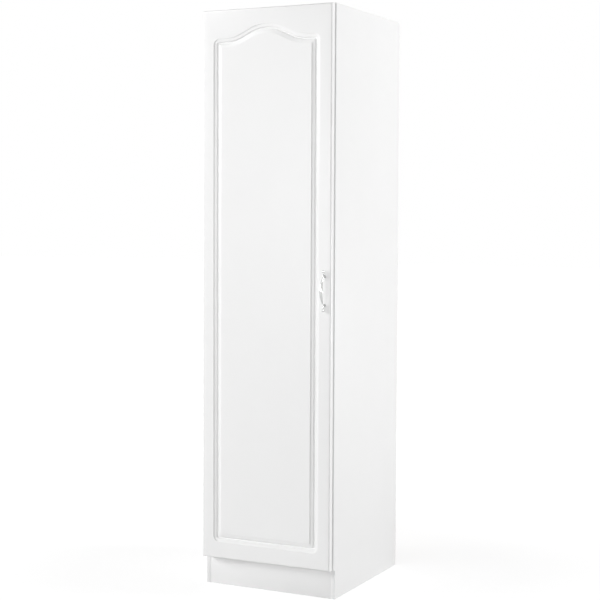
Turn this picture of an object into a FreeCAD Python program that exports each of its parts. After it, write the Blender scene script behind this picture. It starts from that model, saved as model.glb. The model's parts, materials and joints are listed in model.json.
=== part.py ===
"""Broom cupboard: a tall single-door kitchen cabinet, 50 x 200 cm.

Frame: millimetres, +Z up, z = 0 on the floor, x = 0 at the middle of the width.
The door is at -Y and the wall side at +Y. y = 0 halves the overall depth, handle included.
"""
import FreeCAD, Part
import math
import os

from FreeCAD import Vector

os.makedirs("parts", exist_ok=True)

# ---- driving dimensions ------------------------------------------------------------------
WIDTH = 500.0
HEIGHT = 2000.0
CARCASS_DEPTH = 545.0
BOARD = 16.0
BACK_BOARD = 3.0
PLINTH_HEIGHT = 100.0
PLINTH_SETBACK = 12.0
BACK_INSET = 17.0            # from the rear edges to the back panel

DOOR_THICKNESS = 22.0
DOOR_GAP = 3.0               # between the carcass front and the door's back
DOOR_SIDE_REVEAL = 3.5       # door edge inside the carcass outline, left and right
DOOR_TOP_REVEAL = 2.0
DOOR_BOTTOM = 102.0
DOOR_EDGE_RADIUS = 6.0       # round the front, where the foil wraps
DOOR_BACK_RADIUS = 2.0
HANDLE_PROJECTION = 30.0

FIXED_SHELF_Z = 1560.0       # underside of the fixed shelf
LOOSE_SHELF_Z = 1768.0       # underside of the adjustable shelf
BACK_JOINT_Z = 1050.0        # where the two back panels meet

HINGE_HEIGHTS = [202.0, 762.0, 1322.0, 1882.0]

# ---- planes that follow from them --------------------------------------------------------
OVERALL_DEPTH = CARCASS_DEPTH + DOOR_GAP + DOOR_THICKNESS + HANDLE_PROJECTION
REAR_Y = OVERALL_DEPTH / 2
FRONT_Y = REAR_Y - CARCASS_DEPTH
DOOR_BACK_Y = FRONT_Y - DOOR_GAP
DOOR_FRONT_Y = DOOR_BACK_Y - DOOR_THICKNESS
PLINTH_Y = FRONT_Y + PLINTH_SETBACK
BACK_Y = REAR_Y - BACK_INSET - BACK_BOARD     # front face of the back panels
HALF = WIDTH / 2
INNER = HALF - BOARD                          # half the clear width
DOOR_HALF = HALF - DOOR_SIDE_REVEAL
DOOR_TOP = HEIGHT - DOOR_TOP_REVEAL
FLOOR_BOARD_Z = PLINTH_HEIGHT                 # underside of the bottom panel
TOP_BOARD_Z = HEIGHT - BOARD                  # underside of the top panel

# ---- back panels: hardboard in grooves, joined by a plastic H-section ---------------------
GROOVE_PLAY = 0.1            # on each side of the hardboard
GROOVE_DEPTH = 8.0
GROOVE_END_PLAY = 0.5
JOINT_WEB = 1.0
JOINT_FLANGE = 1.2
JOINT_HEIGHT = 14.0

# ---- cams, bolts and dowels --------------------------------------------------------------
CAM_RADIUS = 7.5
CAM_DEPTH = 12.5
CAM_FROM_END = 34.0          # cam centre to the end of the panel
CAM_ROW_FRONT = 60.0         # from the front edge
CAM_ROW_REAR = 445.0
CAM_PLAY = 0.1
CAM_FACE = 4.0               # solid metal over the pocket for the bolt's head
CAM_POCKET_HALF = 3.8
CAM_SLOT_REACH = 4.0         # the cross slot's arms, from the middle
CAM_SLOT_HALF = 0.8
CAM_SLOT_DEPTH = 1.5
BOLT_BORE_RADIUS = 4.0
BOLT_SHANK_RADIUS = 3.5
BOLT_NECK_RADIUS = 2.2
BOLT_THREAD_RADIUS = 2.45
BOLT_THREAD_LENGTH = 11.0
BOLT_NECK_START = 22.0       # from the side panel's face
BOLT_HEAD_START = 31.0
BOLT_TIP = 35.5
BOLT_COLLAR_STEP = 0.05
SIDE_BORE_DEPTH = 12.0
SYSTEM_HOLE_RADIUS = 2.5
DOWEL_RADIUS = 4.0
DOWEL_PLAY = 0.05
DOWEL_IN_PANEL = 18.0
DOWEL_END_PLAY = 0.5
PLINTH_DOWEL_HEIGHTS = [30.0, 70.0]

# ---- shelf support holes and pins: the 32 mm system --------------------------------------
SYSTEM_PITCH = 32.0
SYSTEM_FRONT = 37.0          # first row, from the front edge
SYSTEM_REAR = SYSTEM_FRONT + 13 * SYSTEM_PITCH
SHELF_HOLE_COUNT = 5
SHELF_SIDE_PLAY = 1.0
SHELF_REAR_PLAY = 2.0
SHELF_SETBACK = 20.0
SUPPORT_SHANK = 9.0          # in the side panel
SUPPORT_TONGUE = 8.0         # under the shelf
SUPPORT_COLLAR_RADIUS = 4.0
SUPPORT_COLLAR = 0.9
SUPPORT_PLAY = 0.05

# ---- wall brackets -----------------------------------------------------------------------
BRACKET_SPACING = 360.0
BRACKET_WIDTH = 30.0
BRACKET_LEG = 34.0
BRACKET_STEEL = 2.0
BRACKET_CORNER = 6.0
WALL_HOLE_RADIUS = 2.75
WALL_HOLE_PLAY = 0.25        # in the hardboard
WALL_HOLE_DROP = 22.0        # below the top panel
BRACKET_SCREW_OFFSET = 8.0
BRACKET_SCREW_RADIUS = 1.75
BRACKET_SCREW_LENGTH = 12.0
BRACKET_HEAD_RADIUS = 3.5
BRACKET_HEAD = 1.8
SCREW_END_PLAY = 0.5         # below the tips of all the wood screws

# ---- door moulding: a routed groove that frames the panel --------------------------------
MOULD_HALF = 15.0            # half its width
QUIRK_DEPTH = 2.5            # square wall at each edge, down to a flat
CHANNEL_HALF = 4.5           # round-bottomed channel along the middle
CHANNEL_DEPTH = 6.3
CORNER_RADIUS = 6.0          # of the middle line, wider than the channel's half
STILE = 44.5                 # door edge to the moulding's outer edge
RAIL_BOTTOM = 57.5
SHOULDER_DROP = 97.5         # door top to the moulding's outer edge at the shoulders
PEAK_DROP = 54.5             # door top to the moulding's outer edge at the peak
ARCH_ANGLE = 24.5            # slope between the two arcs of the arch, degrees
ARCH_RADIUS = 150.0          # outer edge, convex crown
SHOULDER_RADIUS = 120.0      # outer edge, hollow flanks
CUTTER_CLEAR = 2.0           # how far the cutting profile stands out of the door

# ---- handle ------------------------------------------------------------------------------
HANDLE_FROM_EDGE = 24.0
HANDLE_Z = 1048.0
HANDLE_SPACING = 96.0
FINIAL_STANDOFF = 9.0        # handle axis above the door at its ends
BOW_HALF_WIDTH = 5.3
BOW_HALF_DEPTH = 3.8
BOW_END_RADIUS = 2.4
BOW_SECTIONS = 7
STEM_RADIUS = 1.92
STEM_INSIDE = 4.0            # reach of the stem into the post's head
BEAD_OFFSET = 7.0            # outward of the posts
BEAD_RADIUS = 3.6
BEAD_HALF_LENGTH = 1.7
BALL_OFFSET = 17.0
BALL_RADIUS = 4.2
POST_FOOT_RADIUS = 5.0
POST_FOOT_HEIGHT = 1.6
POST_FLARE_RADIUS = 4.4
POST_WAIST_RADIUS = 3.2
POST_HEAD_RADIUS = 3.8
HANDLE_HOLE_DEPTH = 6.8
HANDLE_SCREW_RADIUS = 2.0
HANDLE_SCREW_PLAY = 0.05
HANDLE_SCREW_GAP = 0.3       # between its tip and the bottom of the hole
HANDLE_HEAD_RADIUS = 4.0
HANDLE_HEAD = 2.2

# ---- door bumpers ------------------------------------------------------------------------
BUMPER_RADIUS = 4.5
BUMPER_PLAY = 0.1
BUMPER_FROM_SIDE = 10.5      # from the outside of the side panel
BUMPER_HEIGHTS = [160.0, 1940.0]

# ---- concealed hinges, measured from the carcass's front left corner, x right, y back ----
ARM_PIVOT_OUTER = (37.9, 0.7)        # outer link on the arm
ARM_PIVOT_INNER = (36.1, -8.9)       # inner link on the arm
CUP_PIVOT_OUTER = (15.6, -5.0)       # outer link on the cup
CUP_PIVOT_INNER = (15.6, -11.0)      # inner link on the cup
PIN_RADIUS = 1.5
PIN_PLAY = 0.05

CUP_CENTRE_X = 26.0
CUP_RADIUS = 17.5
CUP_DEPTH = 12.5
CUP_PLAY = 0.05
CUP_FLOOR_PLAY = 0.3
CUP_STEEL = 1.2
CUP_RIM = 1.5                        # flange beyond the bore
CUP_EAR_RADIUS = 6.0
CUP_SCREW_X = 9.5                    # from the cup's centre
CUP_SCREW_HALF = 22.5
CUP_SCREW_RADIUS = 1.75
CUP_SCREW_LENGTH = 13.0
CUP_HEAD_RADIUS = 3.4
CUP_HEAD = 1.3
WINDOW_DEPTH = 5.0                   # opening in the cup's wall for the links
WINDOW_REACH = 4.0
WINDOW_PLAY = 0.1
LUG_RADIUS = 2.6
LUG_FOOT_RADIUS = 1.2
LUG_FOOT_HALF = 1.0
LUG_FOOT_HEIGHT = 1.5

INNER_LINK_HALF = 3.4                # half widths, along the pins
OUTER_LINK_IN, OUTER_LINK_OUT = 3.7, 5.1
CHEEK_IN, CHEEK_OUT = 5.4, 6.6
ARM_EYE_RADIUS = 2.6                 # link eyes at the arm, at the cup
OUTER_CUP_EYE_RADIUS = 2.4
INNER_CUP_EYE_RADIUS = 2.0
OUTER_PLATE = (-1.9, 1.1)            # the outer link's edges, from its pivot line
OUTER_WEB_SPAN = (0.16, 0.5)         # shares of its length that the web covers
INNER_PLATE_HALF = 1.0

ARM_STEEL = 1.3
ARM_LENGTH = 62.0
ARM_BACK_X = 33.0                    # outside of the channel's back
ARM_EDGE_X = 19.5                    # free edges of its cheeks
ARM_BEND_Y = 13.0                    # from here the back slopes out to the pivots
ARM_WEB_START = 4.0
ARM_NOSE_INNER, ARM_NOSE_OUTER = 2.7, 3.0
ARM_BEND_RADIUS = 2.5
ARM_CORNER = 2.0
ARM_SLOPE_STEEL = 1.56               # steel measured square to the door, on the slope
FIX_SCREW_Y = 50.0
ADJUST_SCREW_Y = 26.0
ARM_SCREW_RADIUS = 2.5
ARM_SCREW_PLAY = 0.05
ARM_HEAD_RADIUS = 4.2
ARM_HEAD = 1.8

PLATE_SCREW_HALF = 16.0
PLATE_WING = 2.0
PLATE_WING_RADIUS = 6.0
PLATE_TOP = 24.0                     # from the outside of the side panel
PLATE_HALF_WIDTH = 4.9
PLATE_START, PLATE_END = 18.0, 60.0
PLATE_CORNER = 2.0
PLATE_THREAD_DEPTH = 6.0
PLATE_SCREW_HEAD_RADIUS = 4.5
PLATE_SCREW_LENGTH = 11.0

PICK = 0.01                          # how near an edge lies to where it is looked for


# ---- shape helpers -----------------------------------------------------------------------
def block(x0, x1, y0, y1, z0, z1):
    return Part.makeBox(x1 - x0, y1 - y0, z1 - z0, Vector(x0, y0, z0))


def rod(start, direction, radius, length):
    return Part.makeCylinder(radius, length, Vector(*start), Vector(*direction))


def fused(shapes):
    whole = shapes[0]
    if len(shapes) > 1:
        whole = whole.fuse(shapes[1:])
    return whole.removeSplitter()


def mirrored_x(shape):
    return shape.mirror(Vector(0, 0, 0), Vector(1, 0, 0))


def screw(seat, inward, head_radius, head, shank_radius, length):
    """Screw whose head sits on seat and whose shank runs along the unit vector inward."""
    outward = [-c for c in inward]
    return fused([rod(seat, outward, head_radius, head), rod(seat, inward, shank_radius, length)])


def write(name, solids):
    shape = solids[0] if len(solids) == 1 else Part.makeCompound(solids)
    shape.exportStep("parts/" + name + ".step")


def on_circle(x, y, radius, angle):
    return Vector(x + radius * math.cos(angle), y + radius * math.sin(angle), 0)


def hull_face(circles):
    """Face in the XY plane round circles (x, y, radius), given anticlockwise."""
    count = len(circles)
    normals = []
    for i in range(count):
        x0, y0, r0 = circles[i]
        x1, y1, r1 = circles[(i + 1) % count]
        heading = math.atan2(y1 - y0, x1 - x0)
        lean = math.acos((r0 - r1) / math.hypot(x1 - x0, y1 - y0))
        normals.append(heading - lean)
    edges = []
    for i in range(count):
        x0, y0, r0 = circles[i]
        x1, y1, r1 = circles[(i + 1) % count]
        into, out = normals[i - 1], normals[i]
        if out < into:
            out += 2 * math.pi
        arc = [on_circle(x0, y0, r0, a) for a in (into, (into + out) / 2, out)]
        edges.append(Part.Arc(*arc).toShape())
        edges.append(Part.makeLine(arc[2], on_circle(x1, y1, r1, normals[i])))
    return Part.Face(Part.Wire(edges))


def polygon_face(points):
    corners = [Vector(x, y, 0) for x, y in points]
    return Part.Face(Part.makePolygon(corners + corners[:1]))


def raised(face, low, high):
    """Face in the XY plane as a solid from z = low to z = high."""
    solid = face.extrude(Vector(0, 0, high - low))
    solid.translate(Vector(0, 0, low))
    return solid


# ---- carcass -----------------------------------------------------------------------------
def cam_rows():
    return [FRONT_Y + CAM_ROW_FRONT, FRONT_Y + CAM_ROW_REAR]


def panel_dowel_y():
    return FRONT_Y + (CAM_ROW_FRONT + CAM_ROW_REAR) / 2


def panel_mid_heights():
    return [z + BOARD / 2 for z in (FLOOR_BOARD_Z, FIXED_SHELF_Z, TOP_BOARD_Z)]


def plinth_mid_y():
    return PLINTH_Y + BOARD / 2


def shelf_holes():
    """Rows of support holes (y, z), the adjustable shelf resting on the middle one."""
    middle = LOOSE_SHELF_Z - SYSTEM_HOLE_RADIUS
    first = middle - (SHELF_HOLE_COUNT // 2) * SYSTEM_PITCH
    heights = [first + i * SYSTEM_PITCH for i in range(SHELF_HOLE_COUNT)]
    return [(FRONT_Y + row, z) for row in (SYSTEM_FRONT, SYSTEM_REAR) for z in heights]


def back_groove(x0, x1, z0, z1):
    return block(x0, x1, BACK_Y - GROOVE_PLAY, BACK_Y + BACK_BOARD + GROOVE_PLAY, z0, z1)


def side_panel(has_hinges):
    """Left side panel. The right one is its mirror image, without the hinge holes."""
    panel = block(-HALF, -INNER, FRONT_Y, REAR_Y, 0, HEIGHT)
    notch = block(-HALF, -INNER, FRONT_Y, PLINTH_Y, 0, PLINTH_HEIGHT)
    groove = back_groove(-INNER - GROOVE_DEPTH, -INNER, FLOOR_BOARD_Z, HEIGHT)
    cuts = [notch, groove]

    def bore(y, z, radius):
        cuts.append(rod((-INNER, y, z), (-1, 0, 0), radius, SIDE_BORE_DEPTH))

    for z in panel_mid_heights():
        for y in cam_rows():
            bore(y, z, SYSTEM_HOLE_RADIUS)
        bore(panel_dowel_y(), z, DOWEL_RADIUS)
    for z in PLINTH_DOWEL_HEIGHTS:
        bore(plinth_mid_y(), z, DOWEL_RADIUS)
    for y, z in shelf_holes():
        bore(y, z, SYSTEM_HOLE_RADIUS)
    if has_hinges:
        for hinge_z in HINGE_HEIGHTS:
            for dz in (-PLATE_SCREW_HALF, PLATE_SCREW_HALF):
                bore(FRONT_Y + SYSTEM_FRONT, hinge_z + dz, SYSTEM_HOLE_RADIUS)
    return panel.cut(cuts)


def end_joints(cam_face_z, into):
    """Cam, bolt and dowel bores at both ends of a horizontal panel; into is +1 or -1 along z."""
    mid_z = cam_face_z + into * BOARD / 2
    cuts = []
    for side in (-1, 1):
        for y in cam_rows():
            cam_x = side * (INNER - CAM_FROM_END)
            cuts.append(rod((cam_x, y, cam_face_z), (0, 0, into), CAM_RADIUS, CAM_DEPTH))
            cuts.append(rod((side * INNER, y, mid_z), (-side, 0, 0), BOLT_BORE_RADIUS, CAM_FROM_END))
        end = (side * INNER, panel_dowel_y(), mid_z)
        cuts.append(rod(end, (-side, 0, 0), DOWEL_RADIUS, DOWEL_IN_PANEL))
    return cuts


def bottom_panel():
    panel = block(-INNER, INNER, FRONT_Y, REAR_Y, FLOOR_BOARD_Z, FLOOR_BOARD_Z + BOARD)
    top = FLOOR_BOARD_Z + BOARD
    cuts = end_joints(FLOOR_BOARD_Z, 1)
    cuts.append(back_groove(-INNER, INNER, top - GROOVE_DEPTH, top))
    return panel.cut(cuts)


def bracket_centres():
    return [-BRACKET_SPACING / 2, BRACKET_SPACING / 2]


def bracket_screw_spots():
    leg_middle = BACK_Y - BRACKET_LEG / 2 - BRACKET_STEEL
    offsets = (-BRACKET_SCREW_OFFSET, BRACKET_SCREW_OFFSET)
    return [(x + dx, leg_middle) for x in bracket_centres() for dx in offsets]


def top_panel():
    panel = block(-INNER, INNER, FRONT_Y, REAR_Y, TOP_BOARD_Z, HEIGHT)
    cuts = end_joints(HEIGHT, -1)
    cuts.append(back_groove(-INNER, INNER, TOP_BOARD_Z, TOP_BOARD_Z + GROOVE_DEPTH))
    for x, y in bracket_screw_spots():
        cuts.append(rod((x, y, TOP_BOARD_Z), (0, 0, 1), BRACKET_SCREW_RADIUS, BRACKET_SCREW_LENGTH))
    return panel.cut(cuts)


def fixed_shelf():
    rear = BACK_Y - GROOVE_PLAY
    panel = block(-INNER, INNER, FRONT_Y, rear, FIXED_SHELF_Z, FIXED_SHELF_Z + BOARD)
    return panel.cut(end_joints(FIXED_SHELF_Z, 1))


def adjustable_shelf():
    half = INNER - SHELF_SIDE_PLAY
    rear = BACK_Y - SHELF_REAR_PLAY
    return block(-half, half, FRONT_Y + SHELF_SETBACK, rear, LOOSE_SHELF_Z, LOOSE_SHELF_Z + BOARD)


def plinth_board():
    board = block(-INNER, INNER, PLINTH_Y, PLINTH_Y + BOARD, 0, PLINTH_HEIGHT)
    cuts = []
    for side in (-1, 1):
        for z in PLINTH_DOWEL_HEIGHTS:
            end = (side * INNER, plinth_mid_y(), z)
            cuts.append(rod(end, (-side, 0, 0), DOWEL_RADIUS, DOWEL_IN_PANEL))
    return board.cut(cuts)


def wall_holes(y0, y1, radius):
    z = TOP_BOARD_Z - WALL_HOLE_DROP
    return [rod((x, y0, z), (0, 1, 0), radius, y1 - y0) for x in bracket_centres()]


def back_panel(z0, z1):
    half = INNER + GROOVE_DEPTH - GROOVE_END_PLAY
    return block(-half, half, BACK_Y, BACK_Y + BACK_BOARD, z0, z1)


def back_panel_lower():
    foot = FLOOR_BOARD_Z + BOARD - GROOVE_DEPTH + GROOVE_END_PLAY
    return back_panel(foot, BACK_JOINT_Z - JOINT_WEB / 2 - GROOVE_PLAY)


def back_panel_upper():
    head = TOP_BOARD_Z + GROOVE_DEPTH - GROOVE_END_PLAY
    panel = back_panel(BACK_JOINT_Z + JOINT_WEB / 2 + GROOVE_PLAY, head)
    return panel.cut(wall_holes(BACK_Y, BACK_Y + BACK_BOARD, WALL_HOLE_RADIUS + WALL_HOLE_PLAY))


def back_joint_strip():
    """H-section that holds the two hardboards edge to edge, between the side panels."""
    slot_front = BACK_Y - GROOVE_PLAY
    slot_rear = BACK_Y + BACK_BOARD + GROOVE_PLAY
    low, high = BACK_JOINT_Z - JOINT_HEIGHT / 2, BACK_JOINT_Z + JOINT_HEIGHT / 2
    body = block(-INNER, INNER, slot_front - JOINT_FLANGE, slot_rear + JOINT_FLANGE, low, high)
    web_low, web_high = BACK_JOINT_Z - JOINT_WEB / 2, BACK_JOINT_Z + JOINT_WEB / 2
    slots = [block(-INNER, INNER, slot_front, slot_rear, low, web_low)]
    slots.append(block(-INNER, INNER, slot_front, slot_rear, web_high, high))
    return body.cut(slots)


def cam_lock(x, y, face_z, into, side):
    """Zinc cam, pocketed towards the bolt, with a cross slot for the driver."""
    radius = CAM_RADIUS - CAM_PLAY
    length = CAM_DEPTH - 2 * CAM_PLAY
    half, reach = CAM_POCKET_HALF, CAM_SLOT_REACH
    cuts = [block(-half, radius, -half, half, CAM_FACE, length)]
    cuts.append(block(-reach, reach, -CAM_SLOT_HALF, CAM_SLOT_HALF, 0, CAM_SLOT_DEPTH))
    cuts.append(block(-CAM_SLOT_HALF, CAM_SLOT_HALF, -reach, reach, 0, CAM_SLOT_DEPTH))
    cam = Part.makeCylinder(radius, length).cut(cuts)
    if side < 0:
        cam = mirrored_x(cam)
    if into < 0:
        cam = cam.mirror(Vector(0, 0, 0), Vector(0, 0, 1))
    cam.translate(Vector(x, y, face_z + into * CAM_PLAY))
    return cam


def cam_bolt(y, z, side):
    """Bolt that screws into the side panel and ends in the cam."""
    thread, shank, neck = BOLT_THREAD_RADIUS, BOLT_SHANK_RADIUS, BOLT_NECK_RADIUS
    outline = [(0, -BOLT_THREAD_LENGTH), (thread, -BOLT_THREAD_LENGTH), (thread, 0),
               (shank, BOLT_COLLAR_STEP), (shank, BOLT_NECK_START),
               (neck, BOLT_NECK_START), (neck, BOLT_HEAD_START),
               (shank, BOLT_HEAD_START), (shank, BOLT_TIP), (0, BOLT_TIP)]
    face = polygon_face([(-side * along, radius) for radius, along in outline])
    bolt = face.revolve(Vector(0, 0, 0), Vector(1, 0, 0), 360)
    bolt.translate(Vector(side * INNER, y, z))
    return bolt


def cams_and_bolts():
    cams, bolts = [], []
    for face_z, into in ((FLOOR_BOARD_Z, 1), (FIXED_SHELF_Z, 1), (HEIGHT, -1)):
        for side in (-1, 1):
            for y in cam_rows():
                cams.append(cam_lock(side * (INNER - CAM_FROM_END), y, face_z, into, side))
                bolts.append(cam_bolt(y, face_z + into * BOARD / 2, side))
    return cams, bolts


def wooden_dowels():
    spots = [(panel_dowel_y(), z) for z in panel_mid_heights()]
    spots += [(plinth_mid_y(), z) for z in PLINTH_DOWEL_HEIGHTS]
    radius = DOWEL_RADIUS - DOWEL_PLAY
    outer = INNER + SIDE_BORE_DEPTH - DOWEL_END_PLAY
    length = outer - (INNER - DOWEL_IN_PANEL + DOWEL_END_PLAY)
    return [rod((side * outer, y, z), (-side, 0, 0), radius, length) for side in (-1, 1) for y, z in spots]


def shelf_pins():
    """Steel pins with a flat tongue under the adjustable shelf."""
    z = LOOSE_SHELF_Z - SYSTEM_HOLE_RADIUS
    radius = SYSTEM_HOLE_RADIUS
    above = block(-HALF, HALF, FRONT_Y, REAR_Y, LOOSE_SHELF_Z, LOOSE_SHELF_Z + BOARD)
    pins = []
    for side in (-1, 1):
        for row in (SYSTEM_FRONT, SYSTEM_REAR):
            seat = (side * INNER, FRONT_Y + row, z)
            shank = rod(seat, (side, 0, 0), radius - SUPPORT_PLAY, SUPPORT_SHANK)
            tongue = rod(seat, (-side, 0, 0), radius, SUPPORT_TONGUE)
            collar = rod(seat, (-side, 0, 0), SUPPORT_COLLAR_RADIUS, SUPPORT_COLLAR)
            pins.append(fused([shank, tongue, collar]).cut(above))
    return pins


def wall_bracket(x):
    """Steel angle under the top panel with a round hole for the screw to the wall."""
    rear = BACK_Y
    front = rear - BRACKET_LEG
    x0, x1 = x - BRACKET_WIDTH / 2, x + BRACKET_WIDTH / 2
    level = block(x0, x1, front, rear, TOP_BOARD_Z - BRACKET_STEEL, TOP_BOARD_Z)
    upright = block(x0, x1, rear - BRACKET_STEEL, rear, TOP_BOARD_Z - BRACKET_LEG, TOP_BOARD_Z)
    angle = fused([level, upright])
    free_corners = [e for e in angle.Edges if abs(e.Length - BRACKET_STEEL) < PICK]
    angle = angle.makeFillet(BRACKET_CORNER, free_corners)
    holes = wall_holes(front, rear, WALL_HOLE_RADIUS)
    for sx, sy in bracket_screw_spots():
        under = (sx, sy, TOP_BOARD_Z - BRACKET_STEEL)
        holes.append(rod(under, (0, 0, 1), BRACKET_SCREW_RADIUS, BRACKET_STEEL))
    return angle.cut(holes)


def wall_bracket_screws():
    under = TOP_BOARD_Z - BRACKET_STEEL
    length = BRACKET_STEEL + BRACKET_SCREW_LENGTH - SCREW_END_PLAY
    return [screw((x, y, under), (0, 0, 1), BRACKET_HEAD_RADIUS, BRACKET_HEAD, BRACKET_SCREW_RADIUS, length)
            for x, y in bracket_screw_spots()]


# ---- door --------------------------------------------------------------------------------
def cut_profile(inside):
    """Section of the moulding in XY, +Y out of the door, from -MOULD_HALF to inside along X."""
    flat = -QUIRK_DEPTH
    outline = [(-CHANNEL_HALF, flat), (-MOULD_HALF, flat), (-MOULD_HALF, CUTTER_CLEAR),
               (inside, CUTTER_CLEAR), (inside, flat), (CHANNEL_HALF, flat)]
    corners = [Vector(x, y, 0) for x, y in outline]
    channel = Part.Arc(corners[-1], Vector(0, -CHANNEL_DEPTH, 0), corners[0]).toShape()
    return Part.Face(Part.Wire(Part.makePolygon(corners).Edges + [channel]))


def placed_profile(inside, x, z, heading):
    """The section at (x, z) on the door front, square to a heading in degrees, inside to its left."""
    face = cut_profile(inside)
    # section plane XY with its normal along +Z; +Y of the section becomes -Y of the cupboard
    face.rotate(Vector(0, 0, 0), Vector(0, 0, 1), 180)
    face.rotate(Vector(0, 0, 0), Vector(0, 1, 0), 90 - heading)
    face.translate(Vector(x, DOOR_FRONT_Y, z))
    return face


def straight_run(x0, z0, x1, z1):
    heading = math.degrees(math.atan2(z1 - z0, x1 - x0))
    return placed_profile(MOULD_HALF, x0, z0, heading).extrude(Vector(x1 - x0, 0, z1 - z0))


def arc_run(centre_x, centre_z, radius, start, end, inside=MOULD_HALF):
    """Groove along an arc from one polar angle to another, in degrees from +X towards +Z."""
    x = centre_x + radius * math.cos(math.radians(start))
    z = centre_z + radius * math.sin(math.radians(start))
    face = placed_profile(inside, x, z, start + 90)
    return face.revolve(Vector(centre_x, 0, centre_z), Vector(0, -1, 0), end - start)


def corner_run(side, x, z, start):
    """Quarter turn about (side * x, z); the straight runs on both sides of it cut its inside."""
    return arc_run(side * x, z, CORNER_RADIUS, start, start + 90, CORNER_RADIUS)


def moulding_groove():
    """The framing groove: square at the foot, a shouldered arch at the head."""
    side_x = DOOR_HALF - STILE - MOULD_HALF
    foot_z = DOOR_BOTTOM + RAIL_BOTTOM + MOULD_HALF
    shoulder_z = DOOR_TOP - SHOULDER_DROP - MOULD_HALF
    peak_z = DOOR_TOP - PEAK_DROP - MOULD_HALF
    crown = ARCH_RADIUS - MOULD_HALF
    hollow = SHOULDER_RADIUS + MOULD_HALF
    sine, cosine = math.sin(math.radians(ARCH_ANGLE)), math.cos(math.radians(ARCH_ANGLE))
    crown_x, crown_z = crown * sine, peak_z - crown * (1 - cosine)
    hollow_z = shoulder_z + hollow * (1 - cosine)
    hollow_x = crown_x + (crown_z - hollow_z) * cosine / sine
    shoulder_x = hollow_x + hollow * sine
    turn_x, low_z, high_z = side_x - CORNER_RADIUS, foot_z + CORNER_RADIUS, shoulder_z - CORNER_RADIUS
    runs = [straight_run(-turn_x, foot_z, turn_x, foot_z),
            arc_run(0, peak_z - crown, crown, 90 - ARCH_ANGLE, 90 + ARCH_ANGLE)]
    for side in (-1, 1):
        runs.append(straight_run(side * side_x, low_z, side * side_x, high_z))
        runs.append(straight_run(side * turn_x, shoulder_z, side * shoulder_x, shoulder_z))
        runs.append(straight_run(side * hollow_x, hollow_z, side * crown_x, crown_z))
    runs += [corner_run(1, turn_x, low_z, 270), corner_run(1, turn_x, high_z, 0)]
    runs += [corner_run(-1, turn_x, high_z, 90), corner_run(-1, turn_x, low_z, 180)]
    runs.append(arc_run(shoulder_x, shoulder_z + hollow, hollow, 270 - ARCH_ANGLE, 270))
    runs.append(arc_run(-shoulder_x, shoulder_z + hollow, hollow, 270, 270 + ARCH_ANGLE))
    return fused(runs)


def handle_x():
    return DOOR_HALF - HANDLE_FROM_EDGE


def handle_posts():
    return [HANDLE_Z - HANDLE_SPACING / 2, HANDLE_Z + HANDLE_SPACING / 2]


def cup_screw_spots():
    x = -HALF + CUP_CENTRE_X + CUP_SCREW_X
    return [(x, z + dz) for z in HINGE_HEIGHTS for dz in (-CUP_SCREW_HALF, CUP_SCREW_HALF)]


def edges_at(solid, y):
    return [e for e in solid.Edges if abs(e.CenterOfMass.y - y) < PICK]


def door_panel():
    blank = block(-DOOR_HALF, DOOR_HALF, DOOR_FRONT_Y, DOOR_BACK_Y, DOOR_BOTTOM, DOOR_TOP)
    blank = blank.makeFillet(DOOR_EDGE_RADIUS, edges_at(blank, DOOR_FRONT_Y))
    blank = blank.makeFillet(DOOR_BACK_RADIUS, edges_at(blank, DOOR_BACK_Y))
    cuts = [moulding_groove()]
    for z in HINGE_HEIGHTS:
        centre = (-HALF + CUP_CENTRE_X, DOOR_BACK_Y, z)
        cuts.append(rod(centre, (0, -1, 0), CUP_RADIUS, CUP_DEPTH))
    for x, z in cup_screw_spots():
        cuts.append(rod((x, DOOR_BACK_Y, z), (0, -1, 0), CUP_SCREW_RADIUS, CUP_SCREW_LENGTH))
    for z in handle_posts():
        radius = HANDLE_SCREW_RADIUS + HANDLE_SCREW_PLAY
        cuts.append(rod((handle_x(), DOOR_BACK_Y, z), (0, -1, 0), radius, DOOR_THICKNESS))
    return blank.cut(cuts)


def handle_bow():
    """One casting: an arched bow on two posts, with a bead and a ball beyond each post."""
    front = HANDLE_PROJECTION - BOW_HALF_DEPTH
    half_chord = HANDLE_SPACING / 2 - BOW_END_RADIUS
    rise = front - FINIAL_STANDOFF
    radius = (half_chord ** 2 + rise ** 2) / (2 * rise)
    reach = math.asin(half_chord / radius)
    sections = []
    for i in range(BOW_SECTIONS):
        share = 2 * i / (BOW_SECTIONS - 1) - 1
        swell = math.cos(share * math.pi / 2) ** 2
        width = BOW_END_RADIUS + (BOW_HALF_WIDTH - BOW_END_RADIUS) * swell
        depth = BOW_END_RADIUS + (BOW_HALF_DEPTH - BOW_END_RADIUS) * swell
        angle = share * reach
        centre = Vector(0, -(front - radius * (1 - math.cos(angle))), radius * math.sin(angle))
        sections.append(bow_section(centre, width, depth, angle))
    whole = [Part.makeLoft(sections, True, False)]
    for side in (-1, 1):
        whole.append(finial(side))
        whole.append(post(side * HANDLE_SPACING / 2))
    handle = fused(whole)
    hole_radius = HANDLE_SCREW_RADIUS + HANDLE_SCREW_PLAY
    holes = [rod((0, 0, side * HANDLE_SPACING / 2), (0, -1, 0), hole_radius, HANDLE_HOLE_DEPTH)
             for side in (-1, 1)]
    handle = handle.cut(holes)
    handle.translate(Vector(handle_x(), DOOR_FRONT_Y, HANDLE_Z))
    return handle


def bow_section(centre, width, depth, angle):
    """Ellipse square to the bow's arc, wide across the door."""
    hair = 0.001             # an ellipse needs its first radius to be the larger one
    wire = Part.Wire(Part.Ellipse(Vector(0, 0, 0), width + hair, depth).toShape())
    wire.rotate(Vector(0, 0, 0), Vector(1, 0, 0), -math.degrees(angle))
    wire.translate(centre)
    return wire


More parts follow.
